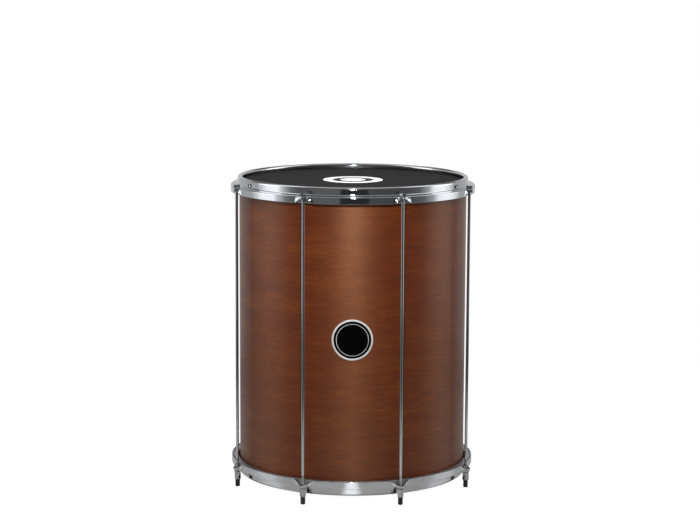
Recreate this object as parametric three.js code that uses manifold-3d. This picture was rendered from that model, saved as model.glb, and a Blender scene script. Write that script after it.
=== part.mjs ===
// Surdo: the tall two-headed bass drum of a samba band, 18 inches across. A plywood shell carries a
// drumhead at each end. Two pressed steel hoops are drawn together over the heads by eight long rods,
// and the drum stands on the rubber caps of those rods. Units are millimetres and +Z is up. The origin
// is on the floor under the middle of the drum, and the badge faces -Y.

import * as THREE from "three";
import { mergeVertices } from "three/addons/utils/BufferGeometryUtils.js";
import Module from "manifold-3d";

// Clearances
const seatGap = 0.3; // between pieces that press on each other
const threadGap = 0.3; // between the rod and what is threaded or pushed on it
const holeGap = 0.5; // between the rod and the hole in a hoop's ear

// Shell
const shellOuterRadius = 228;
const shellWall = 8;
const shellHeight = 581;
const bearingInnerCut = 4.5;
const bearingOuterCut = 2.5;

// Drumheads: film, and the channel ring that holds its edge
const filmThickness = 0.5;
const filmCornerCut = 2;
const filmTuckDepth = 6;
const fleshHoopWidth = 10;
const fleshHoopHeight = 12;
const fleshHoopWall = 1.5;
const fleshHoopCollarGap = 2.4; // from the film's collar to the ring
const filmEdgeFromWall = 0.6;

// Pressed hoops: a rim that stands above the head, a shoulder and a skirt. The rim's edge is turned
// inwards and down into a roll, which keeps it stiff and round to the hand.
const hoopSteel = 1.8;
const rimRollRadius = 4.6;
const rimRollDepth = 5.3; // from the top of the roll down to its lip, inside the rim
const headRecess = 9.8; // from the rim's edge down to the head
const rimHeight = 15;
const shoulderDrop = 2;
const skirtHeight = 14;
const skirtGap = 2; // from the flesh hoop out to the skirt
const skirtCornerCut = 1.2;

// Ears: half-funnels pressed out of the skirt, one for each rod. The steel that makes them is drawn
// from the skirt's free edge, so that edge rises over each ear.
const lugCount = 8;
const earSeatReach = 8.8; // from the rod's axis out to the seat's edge
const earSeatHalfWidth = 10.5;
const earMouthReach = 9.8; // from the rod's axis out to the lip of the funnel
const earMouthHalfWidth = 19.5;
const earSeatPower = 0.75; // a low power gives the seat its steep sides
const earMouthPower = 1.6; // a high power lets the mouth run out softly into the skirt
const earLipRise = 9.3; // how far the free edge is drawn up in the middle of an ear
const earStationShares = [0.24, 0.44, 0.58, 1];

// Tension rods with hexagonal heads
const rodOutset = 2.5; // from the skirt out to the rod's axis
const rodRadius = 3;
const rodHeadAcrossFlats = 12;
const rodHeadHeight = 5;
const hexChamfer = 0.8;
const rodThroughCap = 8; // how far the rod's end reaches into the rubber cap

// Washers
const washerRadius = 7;
const headWasherThickness = 1.5;
const seatWasherThickness = 2;

// Tuning nuts
const nutAcrossFlats = 11;
const nutHeight = 16;

// Rubber end caps, on which the drum stands
const capRadius = 4.7;
const capHeight = 14.9;
const capTipRadius = 2.6;
const capShoulderRadius = 4.2;
const capShoulderHeight = 1;
const capTipHeight = 2.6;

// Badge: a round plate with a raised ring, both curved to the shell
const badgeRadius = 40;
const badgeRingWidth = 3.7;
const badgePlateThickness = 0.8;
const badgeRingThickness = 1.2;
const badgeAboveMiddle = 6.7;

// Facets, counted round each kind of piece
const ringSides = 48;
const hexSides = 6;
const boreSides = 10;
const chamferSides = 12;
const rodSides = 10;
const badgeSides = 40;

// Small lengths of the modelling itself
const cutOverrun = 5;
const weldDistance = 0.001;
const leastStationSpacing = 0.2;

// Heights, built up from the floor, and mirrored about the middle of the shell
const nutBottomZ = capHeight + seatGap;
const nutTopZ = nutBottomZ + nutHeight;
const seatWasherBottomZ = nutTopZ + seatGap;
const bottomSeatZ = seatWasherBottomZ + seatWasherThickness + seatGap;
const bottomRimZ = bottomSeatZ - shoulderDrop - rimHeight;
const shellBottomZ = bottomRimZ + headRecess + filmThickness + seatGap;
const shellTopZ = shellBottomZ + shellHeight;
const middleZ = (shellBottomZ + shellTopZ) / 2;
const topRimZ = 2 * middleZ - bottomRimZ;
const topSeatZ = 2 * middleZ - bottomSeatZ;

// Radii, built outwards from the shell
const shellInnerRadius = shellOuterRadius - shellWall;
const filmInnerRadius = shellOuterRadius + seatGap;
const filmOuterRadius = filmInnerRadius + filmThickness;
const rimInnerRadius = filmOuterRadius + seatGap;
const rimOuterRadius = rimInnerRadius + hoopSteel;
const fleshHoopInnerRadius = filmOuterRadius + fleshHoopCollarGap;
const fleshHoopOuterRadius = fleshHoopInnerRadius + fleshHoopWidth;
const skirtOuterRadius = fleshHoopOuterRadius + skirtGap + hoopSteel;
const rodCircleRadius = skirtOuterRadius + rodOutset;
const seatInnerRadius = rodCircleRadius - washerRadius - seatGap;
const boreRadius = circumscribed(rodRadius + threadGap, boreSides);
const earHoleRadius = circumscribed(rodRadius + holeGap, boreSides);

// Distances into the drum from a rim's edge, the same at both ends
const seatDepth = rimHeight + shoulderDrop;
const skirtEdgeDepth = seatDepth + skirtHeight;
const flangeDepth = seatDepth + hoopSteel + seatGap;

const materials = {
  wood: finish(0x82533b, 0.45, 0),
  chrome: finish(0xb9bec2, 0.12, 1),
  aluminium: finish(0xb4b6b8, 0.4, 1),
  batterFilm: finish(0x313030, 0.6, 0),
  steel: finish(0x9a9c9e, 0.3, 1),
  rubber: finish(0x16181a, 0.8, 0),
  enamel: finish(0x1b1b1d, 0.35, 0),
};

function finish(color, roughness, metalness) {
  return new THREE.MeshStandardMaterial({ color, roughness, metalness });
}

// The corner radius of a polygon whose flats lie at a given radius.
function circumscribed(flatRadius, sides) {
  return flatRadius / Math.cos(Math.PI / sides);
}

// Solids and cuts
const wasm = await Module();
wasm.setup();

// Joins a geometry's shared vertices and drops the faces that close up at the axis.
function weld(geometry) {
  const bare = geometry.clone();
  bare.deleteAttribute("normal");
  bare.deleteAttribute("uv");
  const welded = mergeVertices(bare, weldDistance);
  const corners = welded.index.array;
  const kept = [];
  for (let i = 0; i < corners.length; i += 3) {
    const [a, b, c] = [corners[i], corners[i + 1], corners[i + 2]];
    if (a !== b && b !== c && c !== a) kept.push(a, b, c);
  }
  welded.setIndex(kept);
  return welded;
}

function toSolid(geometry) {
  const welded = weld(geometry);
  return new wasm.Manifold(
    new wasm.Mesh({
      numProp: 3,
      vertProperties: new Float32Array(welded.attributes.position.array),
      triVerts: new Uint32Array(welded.index.array),
    }),
  );
}

function toGeometry(solid) {
  const mesh = solid.getMesh();
  const geometry = new THREE.BufferGeometry();
  geometry.setAttribute("position", new THREE.BufferAttribute(mesh.vertProperties, mesh.numProp));
  geometry.setIndex(new THREE.BufferAttribute(mesh.triVerts, 1));
  return geometry;
}

// An outline of [radius, height] points, turned to run counter-clockwise.
function outlinePoints(outline) {
  const points = outline.map(([radius, z]) => new THREE.Vector2(radius, z));
  if (THREE.ShapeUtils.area(points) < 0) points.reverse();
  return points;
}

// Revolves an outline about +Z. It closes on itself, or starts and ends on the axis.
function revolve(outline, sides) {
  const points = outlinePoints(outline);
  const hollow = points.every((point) => point.x > 0);
  if (hollow) points.push(points[0].clone());
  const geometry = new THREE.LatheGeometry(points, sides);
  geometry.rotateX(Math.PI / 2);
  return weld(geometry);
}

function cylinder(radius, bottomZ, topZ, sides) {
  return revolve([[0, bottomZ], [radius, bottomZ], [radius, topZ], [0, topZ]], sides);
}

function ring(innerRadius, outerRadius, bottomZ, topZ, sides) {
  const outline = [
    [innerRadius, bottomZ],
    [outerRadius, bottomZ],
    [outerRadius, topZ],
    [innerRadius, topZ],
  ];
  return revolve(outline, sides);
}

// Rods, ears, nuts and caps share these places, half a step off the badge's side.
function lugAngle(lug) {
  return ((lug + 0.5) * 2 * Math.PI) / lugCount;
}

function placedAtLug(geometry, lug) {
  const placed = geometry.clone();
  placed.translate(0, -rodCircleRadius, 0);
  placed.rotateZ(lugAngle(lug));
  return placed;
}

// The two ends of the drum are alike: a depth counts inwards from the rim's edge of either end.
const topEnd = (depth) => topRimZ - depth;
const bottomEnd = (depth) => bottomRimZ + depth;

// Shell: a plywood tube with a bearing edge cut at each end
function makeShell() {
  const innerCutRadius = shellInnerRadius + bearingInnerCut;
  const outerCutRadius = shellOuterRadius - bearingOuterCut;
  const outline = [
    [shellInnerRadius, shellBottomZ + bearingInnerCut],
    [innerCutRadius, shellBottomZ],
    [outerCutRadius, shellBottomZ],
    [shellOuterRadius, shellBottomZ + bearingOuterCut],
    [shellOuterRadius, shellTopZ - bearingOuterCut],
    [outerCutRadius, shellTopZ],
    [innerCutRadius, shellTopZ],
    [shellInnerRadius, shellTopZ - bearingInnerCut],
  ];
  return revolve(outline, ringSides);
}

// Drumhead: a film drawn over the bearing edge, down the shell and into its flesh hoop's channel
function makeHead(end) {
  const innerDepth = headRecess + filmThickness;
  const flangeInnerDepth = flangeDepth + filmThickness;
  const edgeRadius = fleshHoopInnerRadius + fleshHoopWall + filmEdgeFromWall;
  const tuckDepth = flangeDepth + filmTuckDepth;
  const outline = [
    [0, end(headRecess)],
    [filmOuterRadius - filmCornerCut, end(headRecess)],
    [filmOuterRadius, end(headRecess + filmCornerCut)],
    [filmOuterRadius, end(flangeDepth)],
    [edgeRadius + filmThickness, end(flangeDepth)],
    [edgeRadius + filmThickness, end(tuckDepth)],
    [edgeRadius, end(tuckDepth)],
    [edgeRadius, end(flangeInnerDepth)],
    [filmInnerRadius, end(flangeInnerDepth)],
    [filmInnerRadius, end(innerDepth + filmCornerCut)],
    [filmInnerRadius - filmCornerCut, end(innerDepth)],
    [0, end(innerDepth)],
  ];
  return revolve(outline, ringSides);
}

// Flesh hoop: an aluminium channel that the hoop's shoulder presses on, open towards the head
function makeFleshHoop(end) {
  const innerLipDepth = flangeDepth + filmThickness + seatGap;
  const outerLipDepth = flangeDepth;
  const floorDepth = outerLipDepth + fleshHoopHeight;
  const grooveInnerRadius = fleshHoopInnerRadius + fleshHoopWall;
  const grooveOuterRadius = fleshHoopOuterRadius - fleshHoopWall;
  const grooveFloorDepth = floorDepth - fleshHoopWall;
  const outline = [
    [fleshHoopInnerRadius, end(innerLipDepth)],
    [fleshHoopInnerRadius, end(floorDepth)],
    [fleshHoopOuterRadius, end(floorDepth)],
    [fleshHoopOuterRadius, end(outerLipDepth)],
    [grooveOuterRadius, end(outerLipDepth)],
    [grooveOuterRadius, end(grooveFloorDepth)],
    [grooveInnerRadius, end(grooveFloorDepth)],
    [grooveInnerRadius, end(innerLipDepth)],
  ];
  return revolve(outline, ringSides);
}

// How far along the rod circle an angle lies from the nearest rod.
function arcFromLug(angle) {
  const spacing = (2 * Math.PI) / lugCount;
  const turned = angle - lugAngle(0);
  return (turned - Math.round(turned / spacing) * spacing) * rodCircleRadius;
}

// A smooth bulge, 1 in the middle and 0 from its half-width outwards.
function bulge(arc, halfWidth, power) {
  const share = Math.min(Math.abs(arc) / halfWidth, 1);
  return Math.max(Math.cos((share * Math.PI) / 2), 0) ** power;
}

// The angles at which the hoop's section is drawn: an even round, and close together over each ear.
function hoopStations() {
  const angles = [];
  for (let side = 0; side < ringSides; side++) angles.push((side * 2 * Math.PI) / ringSides);
  for (let lug = 0; lug < lugCount; lug++) {
    for (const share of earStationShares) {
      const offset = (share * earMouthHalfWidth) / rodCircleRadius;
      angles.push(lugAngle(lug) - offset, lugAngle(lug) + offset);
    }
  }
  angles.sort((a, b) => a - b);
  const leastAngle = leastStationSpacing / rodCircleRadius;
  return angles.filter((angle, i) => i === 0 || angle - angles[i - 1] > leastAngle);
}

// The rolled edge of a rim: the inside of the roll up to its lip, and then back over the outside.
function rimRoll(end) {
  const rollMiddle = rimOuterRadius - rimRollRadius;
  const insideRadius = rimRollRadius - hoopSteel;
  const onArc = (radius, degrees) => {
    const turn = THREE.MathUtils.degToRad(degrees);
    return [rollMiddle + radius * Math.cos(turn), end(rimRollRadius - radius * Math.sin(turn))];
  };
  return [
    onArc(insideRadius, 0),
    onArc(insideRadius, 90),
    [rollMiddle - insideRadius, end(rimRollDepth)],
    [rollMiddle - rimRollRadius, end(rimRollDepth)],
    ...[135, 90, 45, 0].map((degrees) => onArc(rimRollRadius, degrees)),
  ];
}

// The hoop's section at one angle. Its rim is the same all round, and its skirt swells into the ears.
function hoopSection(angle, end) {
  const arc = arcFromLug(angle);
  const seatReach = rodCircleRadius + earSeatReach - skirtOuterRadius;
  const mouthReach = rodCircleRadius + earMouthReach - skirtOuterRadius;
  const cornerRadius = skirtOuterRadius + seatReach * bulge(arc, earSeatHalfWidth, earSeatPower);
  const mouthRadius = skirtOuterRadius + mouthReach * bulge(arc, earMouthHalfWidth, earMouthPower);
  const edgeDepth = skirtEdgeDepth - earLipRise * bulge(arc, earMouthHalfWidth, 1);
  const edgeShare = (edgeDepth - seatDepth) / skirtHeight;
  const edgeRadius = cornerRadius + (mouthRadius - cornerRadius) * edgeShare;
  return outlinePoints([
    ...rimRoll(end),
    [rimOuterRadius, end(rimHeight)],
    [seatInnerRadius, end(seatDepth)],
    [cornerRadius - skirtCornerCut, end(seatDepth)],
    [cornerRadius, end(seatDepth + skirtCornerCut)],
    [edgeRadius, end(edgeDepth)],
    [edgeRadius - hoopSteel, end(edgeDepth)],
    [cornerRadius - hoopSteel, end(seatDepth + hoopSteel)],
    [seatInnerRadius, end(seatDepth + hoopSteel)],
    [rimInnerRadius, end(rimHeight + hoopSteel)],
  ]);
}

// Pressed hoop: its sections joined into one skin, then drilled for the rods
function makeHoop(end) {
  const sections = hoopStations().map((angle) => ({ angle, points: hoopSection(angle, end) }));
  const count = sections[0].points.length;
  const places = sections.flatMap(({ angle, points }) =>
    points.flatMap(({ x, y }) => [x * Math.sin(angle), -x * Math.cos(angle), y]),
  );
  const faces = [];
  sections.forEach((section, i) => {
    const here = i * count;
    const next = ((i + 1) % sections.length) * count;
    for (let j = 0; j < count; j++) {
      const up = (j + 1) % count;
      faces.push(here + j, next + j, here + up, next + up, here + up, next + j);
    }
  });
  const skin = new THREE.BufferGeometry();
  skin.setAttribute("position", new THREE.Float32BufferAttribute(places, 3));
  skin.setIndex(faces);

  const seatZ = end(seatDepth);
  const drill = cylinder(
    earHoleRadius,
    seatZ - hoopSteel - cutOverrun,
    seatZ + hoopSteel + cutOverrun,
    boreSides,
  );
  let hoop = toSolid(skin);
  for (let lug = 0; lug < lugCount; lug++) hoop = hoop.subtract(toSolid(placedAtLug(drill, lug)));
  return toGeometry(hoop);
}

// A hexagonal prism whose corners are turned off in a cone at the ends.
function makeHex(acrossFlats, bottomZ, topZ, bottomChamfer, topChamfer) {
  const cornerRadius = circumscribed(acrossFlats / 2, hexSides);
  const prism = cylinder(cornerRadius, bottomZ, topZ, hexSides);
  const turned = [
    [0, bottomZ],
    [cornerRadius - bottomChamfer, bottomZ],
    [cornerRadius, bottomZ + bottomChamfer / 2],
    [cornerRadius, topZ - topChamfer / 2],
    [cornerRadius - topChamfer, topZ],
    [0, topZ],
  ];
  return toSolid(prism).intersect(toSolid(revolve(turned, chamferSides)));
}

// Tension rod: a long bolt that hangs from the top ear and comes out below the bottom one
function makeRod() {
  const headBottomZ = topSeatZ + seatGap + headWasherThickness + seatGap;
  const headTopZ = headBottomZ + rodHeadHeight;
  const head = makeHex(rodHeadAcrossFlats, headBottomZ, headTopZ, 0, hexChamfer);
  const rodEndZ = capHeight - rodThroughCap;
  const shank = cylinder(rodRadius, rodEndZ, headBottomZ + rodHeadHeight / 2, rodSides);
  return toGeometry(head.add(toSolid(shank)));
}

function makeHeadWasher() {
  const bottomZ = topSeatZ + seatGap;
  return ring(boreRadius, washerRadius, bottomZ, bottomZ + headWasherThickness, boreSides);
}

function makeSeatWasher() {
  const topZ = seatWasherBottomZ + seatWasherThickness;
  return ring(boreRadius, washerRadius, seatWasherBottomZ, topZ, boreSides);
}

// Tuning nut: a long hexagon, drawn up under the bottom ear
function makeNut() {
  const body = makeHex(nutAcrossFlats, nutBottomZ, nutTopZ, hexChamfer, hexChamfer);
  const bore = cylinder(boreRadius, nutBottomZ - cutOverrun, nutTopZ + cutOverrun, boreSides);
  return toGeometry(body.subtract(toSolid(bore)));
}

// Rubber cap: a blind sleeve on the rod's end, with a small flat on its rounded tip
function makeCap() {
  const boreBottomZ = capHeight - rodThroughCap - threadGap;
  const outline = [
    [0, 0],
    [capTipRadius, 0],
    [capShoulderRadius, capShoulderHeight],
    [capRadius, capTipHeight],
    [capRadius, capHeight],
    [boreRadius, capHeight],
    [boreRadius, boreBottomZ],
    [0, boreBottomZ],
  ];
  return revolve(outline, boreSides);
}

// A badge piece: the part of a thin tube round the shell that a round punch takes out
function makeBadgePiece(thickness, innerRadius, outerRadius) {
  const centreZ = middleZ + badgeAboveMiddle;
  const backRadius = shellOuterRadius + seatGap;
  const sheet = ring(
    backRadius,
    backRadius + thickness,
    centreZ - badgeRadius - cutOverrun,
    centreZ + badgeRadius + cutOverrun,
    ringSides,
  );
  const length = backRadius + thickness + cutOverrun;
  const punch =
    innerRadius > 0
      ? ring(innerRadius, outerRadius, 0, length, badgeSides)
      : cylinder(outerRadius, 0, length, badgeSides);
  punch.rotateX(Math.PI / 2);
  punch.translate(0, 0, centreZ);
  return toGeometry(toSolid(sheet).intersect(toSolid(punch)));
}

// The drum
const surdo = new THREE.Group();

function addPiece(parent, name, geometry, material) {
  const shaded = geometry.clone();
  shaded.computeVertexNormals();
  const mesh = new THREE.Mesh(shaded, material);
  mesh.name = name;
  parent.add(mesh);
}

addPiece(surdo, "shell", makeShell(), materials.wood);
addPiece(surdo, "top_hoop", makeHoop(topEnd), materials.chrome);
addPiece(surdo, "bottom_hoop", makeHoop(bottomEnd), materials.chrome);
addPiece(surdo, "top_flesh_hoop", makeFleshHoop(topEnd), materials.aluminium);
addPiece(surdo, "bottom_flesh_hoop", makeFleshHoop(bottomEnd), materials.aluminium);
addPiece(surdo, "batter_head", makeHead(topEnd), materials.batterFilm);
addPiece(surdo, "resonant_head", makeHead(bottomEnd), materials.batterFilm);

const plateRadius = badgeRadius - badgeRingWidth - seatGap;
const ringInnerRadius = badgeRadius - badgeRingWidth;
addPiece(surdo, "badge_plate", makeBadgePiece(badgePlateThickness, 0, plateRadius), materials.enamel);
addPiece(
  surdo,
  "badge_ring",
  makeBadgePiece(badgeRingThickness, ringInnerRadius, badgeRadius),
  materials.steel,
);

const lugPieces = [
  ["tension_rod", makeRod(), materials.chrome],
  ["head_washer", makeHeadWasher(), materials.steel],
  ["seat_washer", makeSeatWasher(), materials.steel],
  ["tuning_nut", makeNut(), materials.chrome],
  ["end_cap", makeCap(), materials.rubber],
];
for (let lug = 0; lug < lugCount; lug++) {
  const turn = new THREE.Group();
  turn.rotation.z = lugAngle(lug);
  const line = new THREE.Group();
  line.position.y = -rodCircleRadius;
  turn.add(line);
  surdo.add(turn);
  for (const [name, geometry, material] of lugPieces) {
    addPiece(line, `${name}_${lug + 1}`, geometry, material);
  }
}

export default surdo;
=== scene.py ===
# %% [markdown]
# # A surdo, dressed for its photograph
#
# A surdo is the bass drum of a samba band. This one is a stained plywood tube, 18 inches across, with a
# black drumhead at each end. Two chromed steel hoops are drawn together over the heads by eight long
# rods, and the drum stands on the rubber caps of those rods.
#
# The CAD model gives every size and place, but its rings have few facets. Here each piece is modelled
# again, smooth and with its edges broken, exactly where its CAD node lies. Then come the finishes, the
# camera and the studio.

# %% The frame
import math

import bmesh
import bpy
from mathutils import Matrix, Vector


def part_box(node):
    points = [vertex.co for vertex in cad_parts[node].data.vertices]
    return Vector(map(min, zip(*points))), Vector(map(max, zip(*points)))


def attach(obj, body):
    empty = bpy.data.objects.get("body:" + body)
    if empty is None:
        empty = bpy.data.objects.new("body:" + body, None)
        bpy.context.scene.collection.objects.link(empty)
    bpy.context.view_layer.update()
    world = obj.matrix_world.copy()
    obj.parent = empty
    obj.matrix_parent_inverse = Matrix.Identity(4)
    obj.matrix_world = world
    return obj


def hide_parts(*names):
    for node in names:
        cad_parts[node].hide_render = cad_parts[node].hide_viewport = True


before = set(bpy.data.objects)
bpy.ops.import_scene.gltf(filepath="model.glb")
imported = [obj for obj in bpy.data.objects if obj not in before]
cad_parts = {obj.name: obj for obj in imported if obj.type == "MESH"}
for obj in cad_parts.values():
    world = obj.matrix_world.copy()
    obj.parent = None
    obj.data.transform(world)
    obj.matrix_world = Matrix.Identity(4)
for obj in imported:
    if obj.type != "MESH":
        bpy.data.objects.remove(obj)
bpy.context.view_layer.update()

# %% [markdown]
# ## Sizes
#
# Lengths are written in millimetres, as a drum maker would, and turned to metres once. The places that
# hang together are read from the CAD nodes, so the new pieces can't drift away from the old ones. The
# eight rods stand on one circle, the first of them 22.5 degrees to the right of the badge.

# %% Sizes
MM = 0.001
LUGS = 8
FIRST_LUG = 22.5
SHELL_RADIUS = 228
ROD_CIRCLE = 247.5
SKIRT_RADIUS = 245
HOOP_STEEL = 1.8


def span(node):
    """The lowest and highest point of a CAD node, in millimetres."""
    low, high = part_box(node)
    return low.z / MM, high.z / MM


shell_low, shell_high = span("shell")
top_rim, bottom_rim = span("top_hoop")[1], span("bottom_hoop")[0]
print("shell", round(shell_low, 2), round(shell_high, 2), "rims", round(bottom_rim, 2), round(top_rim, 2))

# %% [markdown]
# ## Helpers for materials
#
# Colours are picked as sRGB hex values, the way a colour picker shows them, but a shader wants linear
# light, so one function converts them. A pattern's scale is the number of its cells in a metre, which is
# hard to picture, so a second one works it out from their real size in millimetres. A third one adds any
# node with its settings and links, which keeps each material readable as a list of what it is made of.

# %% Colour and nodes


def linear(colour):
    """An sRGB hex colour as linear red, green and blue, with full alpha."""
    parts = [int(colour[i : i + 2], 16) / 255 for i in (1, 3, 5)]
    return [c / 12.92 if c <= 0.04045 else ((c + 0.055) / 1.055) ** 2.4 for c in parts] + [1.0]


def per_metre(*sizes):
    """The scale of a pattern with cells of this size in millimetres, or of these sizes along X, Y and Z."""
    scales = [1 / (size * MM) for size in sizes]
    return scales[0] if len(scales) == 1 else scales


def add(tree, kind, inputs=None, stops=None, **settings):
    """Adds a node. An input takes a value, or the output of another node as a link."""
    made = tree.nodes.new("ShaderNode" + kind)
    for name, value in settings.items():
        setattr(made, name, value)
    for place, (position, colour) in enumerate(stops or []):
        stop = made.color_ramp.elements[place] if place < 2 else made.color_ramp.elements.new(position)
        stop.position, stop.color = position, colour
    for name, value in (inputs or {}).items():
        if isinstance(value, bpy.types.NodeSocket):
            tree.links.new(value, made.inputs[name])
        else:
            made.inputs[name].default_value = value
    return made


def material(name):
    """An empty material, its node tree and the piece's own coordinates, which are in metres."""
    made = bpy.data.materials.new(name)
    made.use_nodes = True
    tree = made.node_tree
    tree.nodes.clear()
    return made, tree, add(tree, "TexCoord").outputs["Object"]


print("a mid grey of #808080 is", round(linear("#808080")[0], 3), "in linear light")
print("cells of 2 mm need a scale of", per_metre(2))

# %% [markdown]
# ## Stained veneer
#
# The shell's outer ply is a reddish brown stained veneer under satin lacquer. Its grain runs round the
# drum, so all streaks lie level: pores, bands about 5 mm wide and a soft mottle of 30 mm. Real pores are
# 0.3 mm wide, too fine for the picture, so they are drawn as lines 2 mm wide and 13 mm long. An unwrapped
# wood picture would show its seam and repeat. Noise stretched along X and Y gives all three without one,
# because the surface runs through it sideways. Wood fibres lie round the drum and spread a light above
# and below it, so the gloss is stretched upwards. A clear coat on top gives the pale edges.

# %% Stained veneer
veneer, tree, place = material("stained_veneer")
drift = add(tree, "TexNoise", {"Vector": place, "Scale": per_metre(142.9), "Detail": 2.0})
sway = (0.0, 0.0, 12 * MM)
bent = add(tree, "VectorMath", {0: drift.outputs["Color"], 1: sway}, operation="MULTIPLY")
wavy = add(tree, "VectorMath", {0: place, 1: bent.outputs["Vector"]}, operation="ADD")
grain = {}
for layer, length, width, detail in (
    ("pores", 13.16, 1.923, 3.0),
    ("bands", 45.45, 4.762, 2.0),
    ("mottle", 111.1, 28.57, 2.0),
):
    scale = per_metre(length, length, width)
    stretched = add(tree, "Mapping", {"Vector": wavy.outputs["Vector"], "Scale": scale})
    grain[layer] = add(
        tree, "TexNoise", {"Vector": stretched.outputs["Vector"], "Scale": 1.0, "Detail": detail}
    ).outputs["Fac"]
streaks = add(tree, "Mix", {"Factor": 0.5, "A": grain["bands"], "B": grain["pores"]})
figure = add(tree, "Mix", {"Factor": 0.25, "A": streaks.outputs["Result"], "B": grain["mottle"]})
stain = add(
    tree,
    "ValToRGB",
    {"Fac": figure.outputs["Result"]},
    stops=[(0.34, linear("#431b0a")), (0.66, linear("#78340f")), (0.5, linear("#5e2308"))],
)
warmth = add(
    tree,
    "MapRange",
    {"Value": grain["mottle"], "From Min": 0.3, "From Max": 0.7, "To Min": 0.495, "To Max": 0.505},
)
tinted = add(tree, "HueSaturation", {"Hue": warmth.outputs["Result"], "Color": stain.outputs["Color"]})
relief = add(tree, "Bump", {"Height": grain["pores"], "Strength": 0.10, "Distance": 0.2 * MM})
shader = add(
    tree,
    "BsdfPrincipled",
    {
        "Base Color": tinted.outputs["Color"],
        "Roughness": 0.55,
        "Anisotropic": 0.66,
        "Anisotropic Rotation": 0.25,
        "IOR": 1.62,
        "Specular IOR Level": 0.9,
        "Specular Tint": linear("#ffc294"),
        "Coat Weight": 0.25,
        "Coat Roughness": 0.2,
        "Normal": relief.outputs["Normal"],
    },
)
add(tree, "OutputMaterial", {"Surface": shader.outputs["BSDF"]})
print("veneer layers:", sorted(grain))

# %% [markdown]
# ## Chrome
#
# The hoops, rods and nuts are steel, polished and chromed. Chrome is nearly a mirror, so almost all of
# its look is the studio round it, and a perfect mirror would look unreal. What makes it steel is a
# slight waviness left by the press, about 20 mm long, and faint smears of 8 mm that the roughness
# follows. The rods are drawn, not pressed, and get a straighter chrome of their own, with lines along Z.

# %% Chrome
chrome, tree, place = material("chromed_pressed_steel")
press = add(tree, "TexNoise", {"Vector": place, "Scale": per_metre(22.22), "Detail": 1.0})
smears = add(tree, "TexNoise", {"Vector": place, "Scale": per_metre(8.333), "Detail": 3.0})
gloss = add(tree, "MapRange", {"Value": smears.outputs["Fac"], "To Min": 0.03, "To Max": 0.11})
wave = add(tree, "Bump", {"Height": press.outputs["Fac"], "Strength": 0.25, "Distance": 0.6 * MM})
shader = add(
    tree,
    "BsdfPrincipled",
    {
        "Base Color": linear("#ced2d7"),
        "Metallic": 1.0,
        "Roughness": gloss.outputs["Result"],
        "Normal": wave.outputs["Normal"],
    },
)
add(tree, "OutputMaterial", {"Surface": shader.outputs["BSDF"]})

rod_chrome, tree, place = material("chromed_drawn_rod")
lines = add(tree, "Mapping", {"Vector": place, "Scale": per_metre(2.5, 2.5, 83.33)})
drawn = add(tree, "TexNoise", {"Vector": lines.outputs["Vector"], "Scale": 1.0, "Detail": 2.0})
gloss = add(tree, "MapRange", {"Value": drawn.outputs["Fac"], "To Min": 0.08, "To Max": 0.10})
shader = add(
    tree,
    "BsdfPrincipled",
    {"Base Color": linear("#c4c6c8"), "Metallic": 1.0, "Roughness": gloss.outputs["Result"]},
)
add(tree, "OutputMaterial", {"Surface": shader.outputs["BSDF"]})
print("chrome for the hoops and for the rods")

# %% [markdown]
# ## The other metals
#
# The channel rings that hold the heads are extruded aluminium with a satin surface whose fine lines,
# 0.4 mm apart, run round the drum. The washers are zinc-plated steel, which is greyer, with crystals of
# 1 to 2 mm. The badge's rim is silvered and lacquered, which scatters light more than bare metal does.
# All three are one recipe, a noise that drives roughness and relief, so a loop makes them from a table.

# %% Aluminium, zinc and silver
finishes = {}
for name, colour, metal, cell, low, high in (
    ("satin_aluminium", "#b6b8ba", 1.0, (33.33, 33.33, 0.4), 0.30, 0.46),
    ("zinc_plated_steel", "#9fa1a3", 1.0, (1.429, 1.429, 1.429), 0.24, 0.42),
    ("silvered_brass", "#f3f3f1", 0.4, (0.8333, 16.67, 0.8333), 0.44, 0.56),
):
    finishes[name], tree, place = material(name)
    lines = add(tree, "Mapping", {"Vector": place, "Scale": per_metre(*cell)})
    brushed = add(tree, "TexNoise", {"Vector": lines.outputs["Vector"], "Scale": 1.0, "Detail": 3.0})
    gloss = add(tree, "MapRange", {"Value": brushed.outputs["Fac"], "To Min": low, "To Max": high})
    relief = add(tree, "Bump", {"Height": brushed.outputs["Fac"], "Strength": 0.15, "Distance": 0.1 * MM})
    shader = add(
        tree,
        "BsdfPrincipled",
        {
            "Base Color": linear(colour),
            "Metallic": metal,
            "Roughness": gloss.outputs["Result"],
            "Normal": relief.outputs["Normal"],
        },
    )
    add(tree, "OutputMaterial", {"Surface": shader.outputs["BSDF"]})
print("metals:", sorted(finishes))

# %% [markdown]
# ## Film
#
# The heads are polyester film with a black coating. The coating is sprayed on for grip, which leaves it
# matte and finely pebbled, in grains of about 1 mm, and slightly cloudy. A cell pattern gives the pebbles
# as relief, and a wide noise gives the clouds as a small change of tone.

# %% Film
film, tree, place = material("black_coated_polyester_film")
pebble = add(tree, "TexVoronoi", {"Vector": place, "Scale": per_metre(1.111)})
cloud = add(tree, "TexNoise", {"Vector": place, "Scale": per_metre(55.56), "Detail": 3.0})
tone = add(
    tree,
    "ValToRGB",
    {"Fac": cloud.outputs["Fac"]},
    stops=[(0.3, linear("#151313")), (0.7, linear("#1b191a"))],
)
relief = add(tree, "Bump", {"Height": pebble.outputs["Distance"], "Strength": 0.2, "Distance": 0.1 * MM})
shader = add(
    tree,
    "BsdfPrincipled",
    {
        "Base Color": tone.outputs["Color"],
        "Roughness": 0.7,
        "Specular IOR Level": 0.15,
        "Normal": relief.outputs["Normal"],
    },
)
add(tree, "OutputMaterial", {"Surface": shader.outputs["BSDF"]})
print("film is ready")

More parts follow.
